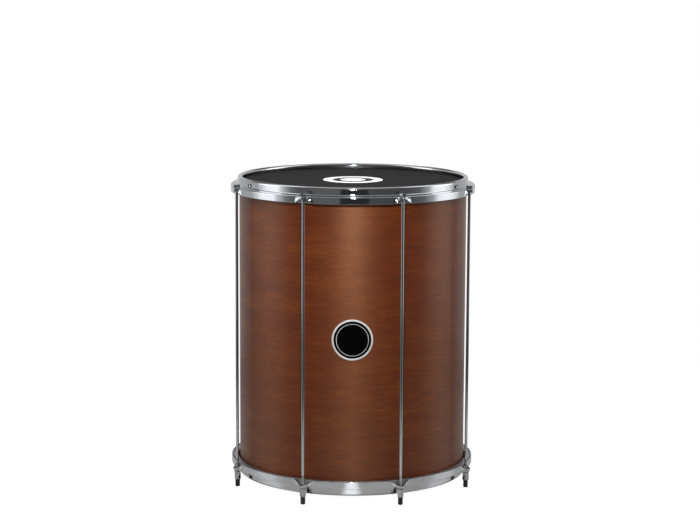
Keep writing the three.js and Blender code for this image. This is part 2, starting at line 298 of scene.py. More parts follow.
# %% [markdown]
# ## Ink
#
# The print on the batter head is white ink pressed through a screen, which leaves a fine mesh in it. It
# is drawn here as plain rings. Rings cut from the mesh would need many thin edges, while a ramp over the
# distance from the drum's axis, with hard steps, draws them sharp at any size.

# %% Ink
PRINT_RADIUS = 60
ink, tree, place = material("white_screen_ink")
reach = add(tree, "VectorMath", {0: place, 1: (1.0, 1.0, 0.0)}, operation="MULTIPLY")
reach = add(tree, "VectorMath", {0: reach.outputs["Vector"]}, operation="LENGTH")
share = add(tree, "MapRange", {"Value": reach.outputs["Value"], "From Max": PRINT_RADIUS * MM})
rings = add(
    tree,
    "ValToRGB",
    {"Fac": share.outputs["Result"]},
    stops=[(0.0, linear("#f6f5f4")), (0.42, linear("#232122")), (0.68, linear("#f6f5f4"))],
)
rings.color_ramp.interpolation = "CONSTANT"
mesh_marks = add(tree, "TexNoise", {"Vector": place, "Scale": per_metre(1.429), "Detail": 1.0})
relief = add(tree, "Bump", {"Height": mesh_marks.outputs["Fac"], "Strength": 0.1, "Distance": 0.1 * MM})
shader = add(
    tree,
    "BsdfPrincipled",
    {
        "Base Color": rings.outputs["Color"],
        "Roughness": 0.55,
        "Specular IOR Level": 0.3,
        "Normal": relief.outputs["Normal"],
    },
)
add(tree, "OutputMaterial", {"Surface": shader.outputs["BSDF"]})
print("rings of ink out to", PRINT_RADIUS, "mm")

# %% [markdown]
# ## Rubber and enamel
#
# The caps are moulded rubber, dull and nearly black, with a greyish bloom in patches of about 4 mm. The
# badge's field is black enamel, fired on, which flows to a gloss with a slight ripple 6 mm long. Both
# are nearly one colour, and it is the small change of tone and relief that tells them from plastic.

# %% Rubber and enamel
rubber, tree, place = material("black_moulded_rubber")
bloom = add(tree, "TexNoise", {"Vector": place, "Scale": per_metre(3.846), "Detail": 4.0})
tone = add(
    tree,
    "ValToRGB",
    {"Fac": bloom.outputs["Fac"]},
    stops=[(0.35, linear("#0f1010")), (0.7, linear("#1d1e1e"))],
)
relief = add(tree, "Bump", {"Height": bloom.outputs["Fac"], "Strength": 0.25, "Distance": 0.2 * MM})
shader = add(
    tree,
    "BsdfPrincipled",
    {"Base Color": tone.outputs["Color"], "Roughness": 0.55, "Normal": relief.outputs["Normal"]},
)
add(tree, "OutputMaterial", {"Surface": shader.outputs["BSDF"]})

enamel, tree, place = material("black_fired_enamel")
ripple = add(tree, "TexNoise", {"Vector": place, "Scale": per_metre(6.25), "Detail": 1.0})
tone = add(
    tree,
    "ValToRGB",
    {"Fac": ripple.outputs["Fac"]},
    stops=[(0.3, linear("#040405")), (0.7, linear("#080809"))],
)
relief = add(tree, "Bump", {"Height": ripple.outputs["Fac"], "Strength": 0.06, "Distance": 0.3 * MM})
shader = add(
    tree,
    "BsdfPrincipled",
    {
        "Base Color": tone.outputs["Color"],
        "Roughness": 0.12,
        "Specular IOR Level": 0.2,
        "Normal": relief.outputs["Normal"],
    },
)
add(tree, "OutputMaterial", {"Surface": shader.outputs["BSDF"]})
print("rubber and enamel are ready")

# %% [markdown]
# ## How turned pieces are made
#
# Nearly everything on a drum is round. A lathe gives such a piece from one section, and so does the
# spin operator. Cylinders put together would need their joins cleaned, and a spun section has none. Each
# section is drawn as a small flat face, its corners are rounded with a vertex bevel, and the outline is
# spun about the axis. A full spin merges its end with its start. Where a section touches the axis, the
# merge of doubles closes the pole, and the edge left on the axis is removed.

# %% Turning
SAME_PLACE = 0.001 * MM


def section(corners, segments=4):
    """A flat section in the XZ plane, from corners of (radius, height, rounding) in millimetres."""
    bm = bmesh.new()
    points = [bm.verts.new((radius * MM, 0, height * MM)) for radius, height, _ in corners]
    bm.faces.new(points)
    for point, (_, _, rounding) in zip(points, corners):
        if rounding:
            bmesh.ops.bevel(
                bm,
                geom=[point],
                offset=rounding * MM,
                offset_type="OFFSET",
                affect="VERTICES",
                segments=segments,
                profile=0.5,
                material=-1,
            )
    return bm


def clean(bm):
    """Merges doubles, drops what has no face, and turns the faces outwards."""
    bmesh.ops.remove_doubles(bm, verts=bm.verts, dist=SAME_PLACE)
    bmesh.ops.dissolve_degenerate(bm, edges=bm.edges, dist=SAME_PLACE / 2)
    loose = [edge for edge in bm.edges if not edge.link_faces]
    bmesh.ops.delete(bm, geom=loose, context="EDGES")
    bmesh.ops.recalc_face_normals(bm, faces=bm.faces)
    return bm


def turned(bm, steps):
    """Spins a section's outline once round the Z axis."""
    bmesh.ops.delete(bm, geom=bm.faces[:], context="FACES_ONLY")
    bmesh.ops.spin(
        bm,
        geom=bm.verts[:] + bm.edges[:],
        cent=(0, 0, 0),
        axis=(0, 0, 1),
        angle=2 * math.pi,
        steps=steps,
        use_merge=True,
    )
    return clean(bm)


test = turned(section([(1, 0, 0), (2, 0, 0), (2, 1, 0), (1, 1, 0)]), steps=8)
print("a square section turned in 8 steps has", len(test.faces), "faces")
test.free()

# %% [markdown]
# ## Handing a piece over
#
# A finished piece becomes an object at the origin, with its place in its mesh. It is shaded smooth, apart
# from edges that are sharp on the real one, and a weighted normal keeps the flats flat in their
# reflections. Then it rides on its body, hides the CAD nodes that it stands for and takes its finish.
# Every piece needs all of this, so one function does it and none can be forgotten.

# %% Handing over
SHARP_ANGLE = 38


def hand_over(mesh, name, body, finish, nodes=()):
    """Makes a mesh a finished piece of the drum, in place of the CAD nodes that it stands for."""
    mesh.shade_smooth()
    mesh.set_sharp_from_angle(angle=math.radians(SHARP_ANGLE))
    mesh.materials.append(finish)
    piece = bpy.data.objects.new(name, mesh)
    bpy.context.scene.collection.objects.link(piece)
    flats = piece.modifiers.new("flats", "WEIGHTED_NORMAL")
    flats.keep_sharp = True
    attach(piece, body)
    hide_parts(*nodes)
    return piece


def as_mesh(bm, name):
    """Turns a bmesh into a mesh and frees it."""
    mesh = bpy.data.meshes.new(name)
    bm.to_mesh(mesh)
    bm.free()
    return mesh


def say(piece):
    """Prints how large a piece's mesh is."""
    mesh = piece.data
    triangles = sum(len(polygon.vertices) - 2 for polygon in mesh.polygons)
    print(piece.name, len(mesh.vertices), "vertices", triangles, "triangles")


print("edges over", SHARP_ANGLE, "degrees stay sharp")

# %% [markdown]
# ## Shell
#
# The shell is plies of wood glued up in a round mould, then cut square and given a bearing edge at each
# end, over which the head is drawn. A cylinder with a Solidify modifier would give the wall, but not the
# bearing edges. One section with a cut and a rounded outer corner, turned once, is the whole of it.

# %% Shell
WALL, BEARING_CUT, OUTER_ROUNDING = 8, 4.5, 2.4
shell_inner = SHELL_RADIUS - WALL
bearing = shell_inner + BEARING_CUT
shell = turned(
    section(
        [
            (shell_inner, shell_low + BEARING_CUT, 0),
            (bearing, shell_low, 0.6),
            (SHELL_RADIUS, shell_low, OUTER_ROUNDING),
            (SHELL_RADIUS, shell_high, OUTER_ROUNDING),
            (bearing, shell_high, 0.6),
            (shell_inner, shell_high - BEARING_CUT, 0),
        ]
    ),
    steps=256,
)
say(hand_over(as_mesh(shell, "wood_shell"), "wood_shell", "drum", veneer, ["shell"]))

# %% [markdown]
# ## Drumheads
#
# A head is one film: flat over the bearing edge, down the shell as a collar, and out into the groove of
# its channel ring. A flat disc would do from above, but the collar and the rounding over the bearing
# edge show just inside the rim. Both ends are alike, so one function draws the section by depth from
# the rim, and the bottom one is the same drawing upside down.

# %% Drumheads
HEAD_DEPTH, FLANGE_DEPTH, FILM = 9.8, 19.1, 0.5
COLLAR = SHELL_RADIUS + 0.3
LIP, LIP_LENGTH = 233.3, 6


def head_section(level):
    """A head's section. The argument turns a depth below the rim into a height."""
    lip_end = level(FLANGE_DEPTH + LIP_LENGTH)
    return section(
        [
            (0, level(HEAD_DEPTH), 0),
            (COLLAR + FILM, level(HEAD_DEPTH), OUTER_ROUNDING),
            (COLLAR + FILM, level(FLANGE_DEPTH), 0),
            (LIP + FILM, level(FLANGE_DEPTH), 0.3),
            (LIP + FILM, lip_end, 0),
            (LIP, lip_end, 0),
            (LIP, level(FLANGE_DEPTH + FILM), 0),
            (COLLAR, level(FLANGE_DEPTH + FILM), 0),
            (COLLAR, level(HEAD_DEPTH + FILM), OUTER_ROUNDING - FILM),
            (0, level(HEAD_DEPTH + FILM), 0),
        ]
    )


def from_top(depth):
    """The height of a depth below the top hoop's rim."""
    return top_rim - depth


def from_bottom(depth):
    """The height of a depth above the bottom hoop's rim."""
    return bottom_rim + depth


for name, node, level in (
    ("drumhead_top", "batter_head", from_top),
    ("drumhead_bottom", "resonant_head", from_bottom),
):
    head = turned(head_section(level), steps=192)
    say(hand_over(as_mesh(head, name), name, "drum", film, [node]))

# %% [markdown]
# ## The print on the batter head
#
# White ink stands a few hundredths of a millimetre proud of the film. It could be painted into the
# film's own material, but then it would share the film's pebbles. A thin turned disc carries it instead,
# so its edge is real, and the rings on it are colour alone, by distance from the drum's axis.

# %% Print
INK_GAP, INK = 0.02, 0.06
ink_low = from_top(HEAD_DEPTH) + INK_GAP
ink_high = ink_low + INK
disc = turned(
    section([(0, ink_low, 0), (PRINT_RADIUS, ink_low, 0), (PRINT_RADIUS, ink_high, 0), (0, ink_high, 0)]),
    steps=128,
)
say(hand_over(as_mesh(disc, "head_print"), "head_print", "drum", ink))

# %% [markdown]
# ## Channel rings
#
# The film's edge is locked in an aluminium channel, the flesh hoop. The pressed hoop pushes on it. The
# channel is an extrusion bent to a ring, which is a section turned, and its lower edge shows between the
# shell and the hoop, so its corners are broken as an extrusion's are.

# %% Channel rings
CHANNEL_INNER, CHANNEL_OUTER, CHANNEL_WALL, CHANNEL_DEPTH = 231.2, 241.2, 1.5, 12
for name, node, level in (
    ("channel_ring_top", "top_flesh_hoop", from_top),
    ("channel_ring_bottom", "bottom_flesh_hoop", from_bottom),
):
    outside_lip, inside_lip = level(FLANGE_DEPTH), level(FLANGE_DEPTH + 0.8)
    web_outside = level(FLANGE_DEPTH + CHANNEL_DEPTH)
    web_inside = level(FLANGE_DEPTH + CHANNEL_DEPTH - CHANNEL_WALL)
    channel = section(
        [
            (CHANNEL_INNER, inside_lip, 0.3),
            (CHANNEL_INNER, web_outside, 0.8),
            (CHANNEL_OUTER, web_outside, 0.8),
            (CHANNEL_OUTER, outside_lip, 0.3),
            (CHANNEL_OUTER - CHANNEL_WALL, outside_lip, 0.3),
            (CHANNEL_OUTER - CHANNEL_WALL, web_inside, 0.4),
            (CHANNEL_INNER + CHANNEL_WALL, web_inside, 0.4),
            (CHANNEL_INNER + CHANNEL_WALL, inside_lip, 0.3),
        ],
        segments=3,
    )
    ring = turned(channel, steps=192)
    finish = finishes["satin_aluminium"]
    say(hand_over(as_mesh(ring, name), name, "drum", finish, [node]))

# %% [markdown]
# ## Pressed hoops: the plain ring
#
# A hoop is one strip of steel: a rim that stands above the head, a sloping shoulder and a skirt. The
# rim's edge is turned inwards and down into a roll, which keeps it stiff and round to the hand. At each
# rod the press pushes the skirt out into an ear, a half funnel with a flat seat on top.
#
# The ring could be turned whole and its ears moulded on it, but every ear would then need its points in
# the same places. Only half an ear needs drawing. The section starts in the middle of an ear and is spun
# in fine steps as far as the ear reaches, then in coarse steps to the middle of the gap. Mirrored, and
# set eight times round the drum, it closes the ring.

# %% Half a sector of hoop
RIM_INNER, RIM_OUTER, RIM_DEPTH = 229.1, 230.9, 15
ROLL_INNER, ROLL_RADIUS, ROLL_DEPTH = 221.7, 4.6, 5.3
SEAT_INNER, SEAT_DEPTH, SKIRT_DEPTH = 240.2, 17, 31
SKIRT_INNER = SKIRT_RADIUS - HOOP_STEEL
EAR_REACH = 21


def hoop_half_sector(level):
    """The hoop from the middle of an ear, which faces +X, to the middle of the gap, 22.5 degrees on."""
    outside_bend = ROLL_RADIUS - 0.01
    inside_bend = outside_bend - HOOP_STEEL
    bm = section(
        [
            (RIM_INNER, level(HOOP_STEEL), inside_bend),
            (ROLL_INNER + HOOP_STEEL, level(HOOP_STEEL), inside_bend),
            (ROLL_INNER + HOOP_STEEL, level(ROLL_DEPTH), 0.5),
            (ROLL_INNER, level(ROLL_DEPTH), 0.5),
            (ROLL_INNER, level(0), outside_bend),
            (RIM_OUTER, level(0), outside_bend),
            (RIM_OUTER, level(RIM_DEPTH), 1.4),
            (SEAT_INNER, level(SEAT_DEPTH), 0),
            (SKIRT_RADIUS, level(SEAT_DEPTH), 1.8),
            (SKIRT_RADIUS, level(SKIRT_DEPTH), 0.6),
            (SKIRT_INNER, level(SKIRT_DEPTH), 0.6),
            (SKIRT_INNER, level(SEAT_DEPTH + HOOP_STEEL), 0.7),
            (SEAT_INNER, level(SEAT_DEPTH + HOOP_STEEL), 0),
            (RIM_INNER, level(RIM_DEPTH + HOOP_STEEL), 1.2),
        ],
        segments=6,
    )
    bmesh.ops.delete(bm, geom=bm.faces[:], context="FACES_ONLY")
    skirt_edges = [
        edge
        for edge in bm.edges
        if edge.calc_length() > 8 * MM and min(vert.co.x for vert in edge.verts) > (SKIRT_INNER - 1.2) * MM
    ]
    bmesh.ops.subdivide_edges(bm, edges=skirt_edges, cuts=7)
    ear_angle = EAR_REACH / ROD_CIRCLE
    sweep = bm.verts[:] + bm.edges[:]
    for angle, steps in ((ear_angle, 44), (math.pi / LUGS - ear_angle, 18)):
        spun = bmesh.ops.spin(
            bm, geom=sweep, cent=(0, 0, 0), axis=(0, 0, 1), angle=angle, steps=steps, use_merge=False
        )
        sweep = spun["geom_last"]
    return clean(bm)


test = hoop_half_sector(from_top)
print("half a sector has", len(test.verts), "vertices")
test.free()

# %% [markdown]
# ## Pressed hoops: the ears
#
# The press pushes steel outwards, and the skirt is no longer than before, so its free edge is drawn up
# over each rod, like a curtain lifted in the middle. The seat is nearly half round about the rod, and
# the free edge swells wider and softer. Between the two the flank runs straight, as steel does when it
# is stretched. The inner face follows with a narrower swelling, which keeps the wall's thickness. An ear
# modelled apart would need its join to the skirt hidden. Pushing the skirt's own points out, as the press
# does, leaves one sheet.

# %% Ears
SEAT_PUSH, SEAT_HALF_WIDTH, SEAT_POWER = 11.3, 10.5, 0.75
MOUTH_PUSH, MOUTH_HALF_WIDTH, MOUTH_POWER = 12.3, 19.5, 1.6
NARROWER_INSIDE, SHOULDER_BLEND, LIP_RISE = 1.6, 2.2, 9.3
SEAT_TOP, SEAT_OUTSIDE = SEAT_DEPTH - 0.5, SEAT_DEPTH + 1.3


def swelling(arc, half_width, power):
    """1 in the middle of an ear and 0 from its half width outwards."""
    share = min(abs(arc) / half_width, 1)
    return max(math.cos(share * math.pi / 2), 0) ** power


def clamp(value):
    """A share kept between 0 and 1."""
    return min(max(value, 0), 1)


def press_ear(bm, level):
    """Pushes the skirt of half a sector out into its ear, and draws the free edge up over the rod."""
    upwards = 1 if level(0) > level(1) else -1
    fixed = SEAT_DEPTH + HOOP_STEEL
    for vert in bm.verts:
        radius = math.hypot(vert.co.x, vert.co.y)
        arc = math.atan2(vert.co.y, vert.co.x) * ROD_CIRCLE
        depth = (level(0) - vert.co.z / MM) * upwards
        reach = clamp((radius / MM - SEAT_INNER) / SHOULDER_BLEND)
        if reach == 0 or depth < SEAT_TOP:
            continue
        outer = 1 if depth < SEAT_OUTSIDE else clamp((radius / MM - SKIRT_INNER) / HOOP_STEEL)
        narrower = NARROWER_INSIDE * (1 - outer)
        if depth > fixed:
            lift = LIP_RISE * swelling(arc, MOUTH_HALF_WIDTH, 1) * (depth - fixed) / (SKIRT_DEPTH - fixed)
            depth -= lift
            vert.co.z += lift * upwards * MM
        down = clamp((depth - SEAT_DEPTH) / (SKIRT_DEPTH - SEAT_DEPTH))
        seat = SEAT_PUSH * swelling(arc, SEAT_HALF_WIDTH - narrower, SEAT_POWER)
        mouth = MOUTH_PUSH * swelling(arc, MOUTH_HALF_WIDTH - narrower, MOUTH_POWER)
        push = reach * (seat * (1 - down) + mouth * down) * MM
        vert.co.x *= (radius + push) / radius
        vert.co.y *= (radius + push) / radius


for name, node, level in (
    ("pressed_hoop_top", "top_hoop", from_top),
    ("pressed_hoop_bottom", "bottom_hoop", from_bottom),
):
    hoop = hoop_half_sector(level)
    press_ear(hoop, level)
    half = hoop.verts[:] + hoop.edges[:] + hoop.faces[:]
    bmesh.ops.mirror(hoop, geom=half, merge_dist=SAME_PLACE, axis="Y")
    sector = hoop.verts[:] + hoop.edges[:] + hoop.faces[:]
    first_ear = Matrix.Rotation(math.radians(FIRST_LUG - 90), 3, "Z")
    bmesh.ops.rotate(hoop, cent=(0, 0, 0), matrix=first_ear, verts=hoop.verts[:])
    for lug in range(1, LUGS):
        copy = bmesh.ops.duplicate(hoop, geom=sector)
        turn = Matrix.Rotation(lug * 2 * math.pi / LUGS, 3, "Z")
        verts = [part for part in copy["geom"] if isinstance(part, bmesh.types.BMVert)]
        bmesh.ops.rotate(hoop, cent=(0, 0, 0), matrix=turn, verts=verts)
    clean(hoop)
    print("open edges:", sum(not edge.is_manifold for edge in hoop.edges))
    say(hand_over(as_mesh(hoop, name), name, "drum", chrome, [node]))

# %% [markdown]
# ## Hexagons
#
# A bolt head is turned first and then milled: six flats cut through a round bar, and the turned chamfer
# leaves a curved edge on each flat. A six-sided cylinder with a bevel would get straight edges there,
# which gives it away. So the real order is kept: a round piece is spun, and then every point beyond a
# flat is pressed back to it, while the chamfer keeps its slope.

# %% Hexagons
CHAMFER_ANGLE = math.radians(30)


def mill_hexagon(bm, across_flats, chamfer_start, low, high):
    """Presses a turned piece to six flats. Its outermost points follow the chamfer's 30 degree cone."""
    for vert in bm.verts:
        radius = math.hypot(vert.co.x, vert.co.y) / MM
        if radius <= chamfer_start + 0.01:
            continue
        off_flat = (math.atan2(vert.co.y, vert.co.x) % (math.pi / 3)) - math.pi / 6
        flat = across_flats / 2 / math.cos(off_flat)
        fall = max(flat - chamfer_start, 0) * math.tan(CHAMFER_ANGLE)
        middle = (low + high) / 2
        height = vert.co.z / MM
        height = min(height, high - fall) if height > middle else max(height, low + fall)
        vert.co = Vector((vert.co.x / radius * flat, vert.co.y / radius * flat, height * MM))
    return bm


HEAD_ACROSS, NUT_ACROSS = 12, 11
for across in (HEAD_ACROSS, NUT_ACROSS):
    print("a hexagon of", across, "mm is", round(across / math.cos(math.pi / 6), 2), "mm over its corners")

# %% [markdown]
# ## Tension rods
#
# Each rod is a long bolt of 6 mm steel with a hexagonal head. Its lower end is threaded, one turn to a
# millimetre, far enough for the nut to run. A relief in the material would leave the thread's outline
# straight, so the ridge is modelled. It is wound round a core: a small triangle is spun with a rise on
# each step, which leaves a closed ridge.

# %% Tension rods
SHANK, CORE, RIDGE_FOOT, RIDGE_TOP = 3, 2.45, 2.3, 2.95
HEAD_HEIGHT, HEAD_CHAMFER, HEAD_BLANK = 5, 5.6, 6.6
THREAD_TOP, THREAD_START, PITCH, RIDGE_STEPS = 57, 0.6, 1.0, 16
rod_low, rod_high = span("tension_rod_1")
head_low = rod_high - HEAD_HEIGHT
rod = turned(
    section(
        [
            (0, rod_low, 0),
            (CORE, rod_low, 0.5),
            (CORE, THREAD_TOP, 0),
            (SHANK, THREAD_TOP + 0.6, 0),
            (SHANK, head_low, 0),
            (HEAD_CHAMFER, head_low, 0),
            (HEAD_BLANK, head_low, 0),
            (HEAD_BLANK, rod_high, 0),
            (HEAD_CHAMFER, rod_high, 0),
            (0, rod_high, 0),
        ]
    ),
    steps=48,
)
mill_hexagon(rod, HEAD_ACROSS, HEAD_CHAMFER, head_low, rod_high)

turns = int((THREAD_TOP - rod_low - 1) / PITCH)
ridge = [
    rod.verts.new((radius * MM, 0, (rod_low + THREAD_START + height) * MM))
    for radius, height in ((RIDGE_FOOT, 0), (RIDGE_TOP, PITCH / 2), (RIDGE_FOOT, PITCH))
]
bmesh.ops.spin(
    rod,
    geom=ridge + [rod.faces.new(ridge)],
    cent=(0, 0, 0),
    axis=(0, 0, 1),
    dvec=(0, 0, PITCH / RIDGE_STEPS * MM),
    angle=turns * 2 * math.pi,
    steps=turns * RIDGE_STEPS,
    use_merge=False,
)
bmesh.ops.recalc_face_normals(rod, faces=rod.faces)
rod_mesh = as_mesh(rod, "tension_rod")
print("thread turns:", turns, "rod from", round(rod_low, 2), "to", round(rod_high, 2))

# %% [markdown]
# ## Washers, nuts and caps
#
# The washers are punched, so their edges are slightly rounded. The nuts are long hexagons, chamfered at
# both ends, with an open bore. The caps are soft sleeves with a rounded tip and three shallow rings
# that help them grip, and they are hollow, because the rod's end sits inside them. All are turned.

# %% Washers, nuts and caps
BORE, WASHER_OUTER = 3.3, 7


def washer_mesh(node, name):
    """A punched washer as high as its CAD node."""
    low, high = span(node)
    outline = [(BORE, low, 0.2), (WASHER_OUTER, low, 0.35), (WASHER_OUTER, high, 0.35), (BORE, high, 0.2)]
    return as_mesh(turned(section(outline, segments=3), steps=48), name)


NUT_CHAMFER, NUT_BLANK, COUNTERSINK = 5.1, 6.2, 0.4
nut_low, nut_high = span("tuning_nut_1")
nut = turned(
    section(
        [
            (BORE, nut_low + COUNTERSINK, 0),
            (BORE + COUNTERSINK, nut_low, 0),
            (NUT_CHAMFER, nut_low, 0),
            (NUT_BLANK, nut_low, 0),
            (NUT_BLANK, nut_high, 0),
            (NUT_CHAMFER, nut_high, 0),
            (BORE + COUNTERSINK, nut_high, 0),
            (BORE, nut_high - COUNTERSINK, 0),
        ]
    ),
    steps=48,
)
mill_hexagon(nut, NUT_ACROSS, NUT_CHAMFER, nut_low, nut_high)

CAP_OUTER, CAP_GROOVE, CAP_TIP, CAP_FLOOR = 4.7, 4.4, 2.6, 6.6
cap_high = span("end_cap_1")[1]
cap_outline = [(0, 0, 0), (CAP_TIP, 0, 0), (CAP_OUTER, 0, 2.2)]
for middle in (6.2, 8.6, 11.0):
    cap_outline += [
        (CAP_OUTER, middle - 0.5, 0.2),
        (CAP_GROOVE, middle - 0.3, 0.1),
        (CAP_GROOVE, middle + 0.3, 0.1),
        (CAP_OUTER, middle + 0.5, 0.2),
    ]
cap_outline += [(CAP_OUTER, cap_high, 0.5), (BORE, cap_high, 0.2), (BORE, CAP_FLOOR, 0), (0, CAP_FLOOR, 0)]
cap = turned(section(cap_outline, segments=3), steps=48)
print("nut", round(nut_high - nut_low, 2), "mm long, cap", round(cap_high, 2), "mm high")

# %% [markdown]
# ## One of each, set round eight times
#
# The eight rods and their fittings are alike. Copies of an object could be turned into their places, but
# a finished piece has to sit at the origin, so each gets its own copy of the mesh, and the mesh is
# turned. The rods and the washers under their heads belong to the drum. A seat washer and a cap ride on
# their nut's carrier, and each nut on its own body, so that it can turn.

# %% Rods, washers, nuts and caps in place
zinc = finishes["zinc_plated_steel"]
head_washer = washer_mesh("head_washer_1", "head_washer")
seat_washer = washer_mesh("seat_washer_1", "seat_washer")
fittings = [
    ("rod", rod_mesh, "tension_rod", "drum", "rod_chrome", rod_chrome),
    ("washer_under_head", head_washer, "head_washer", "drum", "washer_steel", zinc),
    ("washer_on_nut", seat_washer, "seat_washer", "carrier", "washer_steel", zinc),
    ("long_nut", as_mesh(nut, "long_nut"), "tuning_nut", "nut", "rod_chrome", rod_chrome),
    ("rubber_cap", as_mesh(cap, "rubber_cap"), "end_cap", "carrier", "cap_rubber", rubber),
]
out_to_circle = Matrix.Translation((0, -ROD_CIRCLE * MM, 0))
for name, template, node, body, slot, finish in fittings:
    for lug in range(1, LUGS + 1):
        azimuth = math.radians(FIRST_LUG + 360 / LUGS * (lug - 1))
        mesh = template.copy()
        mesh.transform(Matrix.Rotation(azimuth, 4, "Z") @ out_to_circle)
        rides_on = body if body == "drum" else f"{body}_{lug}"
        piece = hand_over(mesh, f"{name}_{lug}", rides_on, finish, [f"{node}_{lug}"])
    say(piece)

# %% [markdown]
# ## Badge
#
# The badge is a stamped disc, bent to the shell: a black field inside a bright raised rim, with a fine
# bright ring set into the field. A Shrinkwrap modifier would bend it too, but would flatten its
# thickness. All three are turned lying flat, stood up to face the front, and then every point is moved
# back by the depth that the shell's curve falls away at that width. Long edges are cut first, so that
# the field can bend.

# %% Badge
badge_low, badge_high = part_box("badge_ring")
badge_middle = (badge_low.z + badge_high.z) / 2
badge_back = (SHELL_RADIUS + 0.3) * MM
stand_up = Matrix.Rotation(math.pi / 2, 3, "X")


def badge_piece(outline, name, finish, nodes=()):
    """A round piece of the badge from its section, bent to the shell."""
    bm = turned(section(outline), steps=96)
    long_edges = [edge for edge in bm.edges if edge.calc_length() > 12 * MM]
    bmesh.ops.subdivide_edges(bm, edges=long_edges, cuts=5, use_grid_fill=True)
    bmesh.ops.rotate(bm, cent=(0, 0, 0), matrix=stand_up, verts=bm.verts[:])
    for vert in bm.verts:
        vert.co.y -= math.sqrt(badge_back**2 - vert.co.x**2)
        vert.co.z += badge_middle
    bmesh.ops.recalc_face_normals(bm, faces=bm.faces)
    say(hand_over(as_mesh(bm, name), name, "drum", finish, nodes))


FIELD, FIELD_TOP = 36, 0.8
RIM_FROM, RIM_TO, RIM_TOP = 36.3, 40, 1.2
FINE_FROM, FINE_TO, FINE_LOW, FINE_TOP = 30.6, 31.5, 0.7, 0.95
silver = finishes["silvered_brass"]
field = [(0, 0, 0), (FIELD, 0, 0), (FIELD, FIELD_TOP, 0.15), (0, FIELD_TOP, 0)]
raised_rim = [(RIM_FROM, 0, 0), (RIM_TO, 0, 0), (RIM_TO, RIM_TOP, 0.9), (RIM_FROM, RIM_TOP, 0.5)]
fine_ring = [
    (FINE_FROM, FINE_LOW, 0),
    (FINE_TO, FINE_LOW, 0),
    (FINE_TO, FINE_TOP, 0.1),
    (FINE_FROM, FINE_TOP, 0.1),
]
badge_piece(field, "badge_field", enamel, ["badge_plate"])
badge_piece(raised_rim, "badge_rim", silver, ["badge_ring"])
badge_piece(fine_ring, "badge_fine_ring", silver)

# %% [markdown]
# ## Camera
#
# The photograph was taken from a little above the drum with a long lens. The camera could be placed by
# eye, but then sizes and angles would hide each other's errors. Its place and lens come instead from
# fitting the drum's known sizes to where its edges lie in the picture, which is 700 by 525.

# %% Camera
CAMERA_PLACE = (-0.0056, -4.0584, 1.0569)
camera_data = bpy.data.cameras.new("camera")
camera_data.lens, camera_data.sensor_width = 104.42, 36
camera = bpy.data.objects.new("camera", camera_data)
bpy.context.scene.collection.objects.link(camera)
down, aside, roll = (math.radians(a) for a in (8.634, 0.005, 0.267))
forward = Vector((math.sin(aside) * math.cos(down), math.cos(aside) * math.cos(down), -math.sin(down)))
right = Vector((math.cos(aside), -math.sin(aside), 0))
upright = right.cross(forward)
tilted_right = math.cos(roll) * right + math.sin(roll) * upright
tilted_up = math.cos(roll) * upright - math.sin(roll) * right
axes = Matrix((tilted_right, tilted_up, -forward)).transposed().to_4x4()
camera.matrix_world = Matrix.Translation(CAMERA_PLACE) @ axes
camera_data.clip_end = 60
bpy.context.scene.camera = camera
print("camera looks", [round(v, 3) for v in forward])

# %% [markdown]
# ## Floor
#
# The camera sees the floor as white, by a little light of the floor's own, and the wood gets hardly any
# light back from it. The bottom hoop mirrors it, and in that mirror it is a grey lacquered floor, with
# painted light on it: pale round the drum and darker further out, where the wood's gloss meets it. A
# glowing card lies on it in front of the drum, a painted strip of light, and makes the pale patch in the
# middle of the hoop. From below the floor is clear, so that the drum's underside can be looked at.

# %% Floor
FLOOR_WIDTH, FLOOR_DEPTH = 4.56, 2.4
GLOW_INNER, GLOW_OUTER, GLOW_FRONT, GLOW_BACK = 0.01, 0.042, -0.62, -0.27
CARD_HALF = 0.06


def floor_paint(name, glow_on_floor):
    """White to the camera and clear from below; in a mirror grey lacquer with painted light, and a painted
    strip of light along Y.
    """
    paint, tree, place = material(name)
    path = add(tree, "LightPath")
    dull = add(tree, "BsdfDiffuse", {"Color": linear("#505050")})
    white = add(tree, "Emission", {"Strength": path.outputs["Is Camera Ray"]})
    seen = add(tree, "AddShader", {0: dull.outputs["BSDF"], 1: white.outputs["Emission"]})
    reach = add(tree, "VectorMath", {0: place}, operation="LENGTH").outputs["Value"]
    share = add(tree, "MapRange", {"Value": reach, "From Max": FLOOR_DEPTH / 2}).outputs["Result"]
    # In a mirror the floor is paler round the drum and darker further out: painted light falling off away
    # from the drum.
    painted_light_falloff = [(0.60, linear("#a19f9c")), (0.95, linear("#555452"))]
    greys = add(tree, "ValToRGB", {"Fac": share}, stops=painted_light_falloff)
    grey = add(tree, "BsdfDiffuse", {"Color": greys.outputs["Color"]})
    lacquer = add(tree, "BsdfGlossy", {"Color": linear("#959595"), "Roughness": 0.2})
    pale = add(tree, "AddShader", {0: grey.outputs["BSDF"], 1: lacquer.outputs["BSDF"]})
    # The glow is no lamp: it is a painted strip of light along Y, brightest on its middle line.
    along = add(tree, "SeparateXYZ", {"Vector": place}).outputs["X"]
    aside = add(tree, "Math", {0: along}, operation="ABSOLUTE").outputs["Value"]
    edge = {"Value": aside, "From Min": GLOW_INNER, "From Max": GLOW_OUTER}
    levels = {"To Min": glow_on_floor, "To Max": 0.0}
    fading = add(tree, "MapRange", {**edge, **levels}, interpolation_type="SMOOTHSTEP")
    glow = add(tree, "Emission", {"Strength": fading.outputs["Result"]})
    mirrored = add(tree, "AddShader", {0: pale.outputs["Shader"], 1: glow.outputs["Emission"]})
    chosen = {0: path.outputs["Is Glossy Ray"], 1: seen.outputs["Shader"], 2: mirrored.outputs["Shader"]}
    both = add(tree, "MixShader", chosen)
    from_below = add(tree, "NewGeometry").outputs["Backfacing"]
    clear = add(tree, "BsdfTransparent")
    one_sided = add(tree, "MixShader", {0: from_below, 1: both.outputs["Shader"], 2: clear.outputs["BSDF"]})
    add(tree, "OutputMaterial", {"Surface": one_sided.outputs["Shader"]})
    return paint


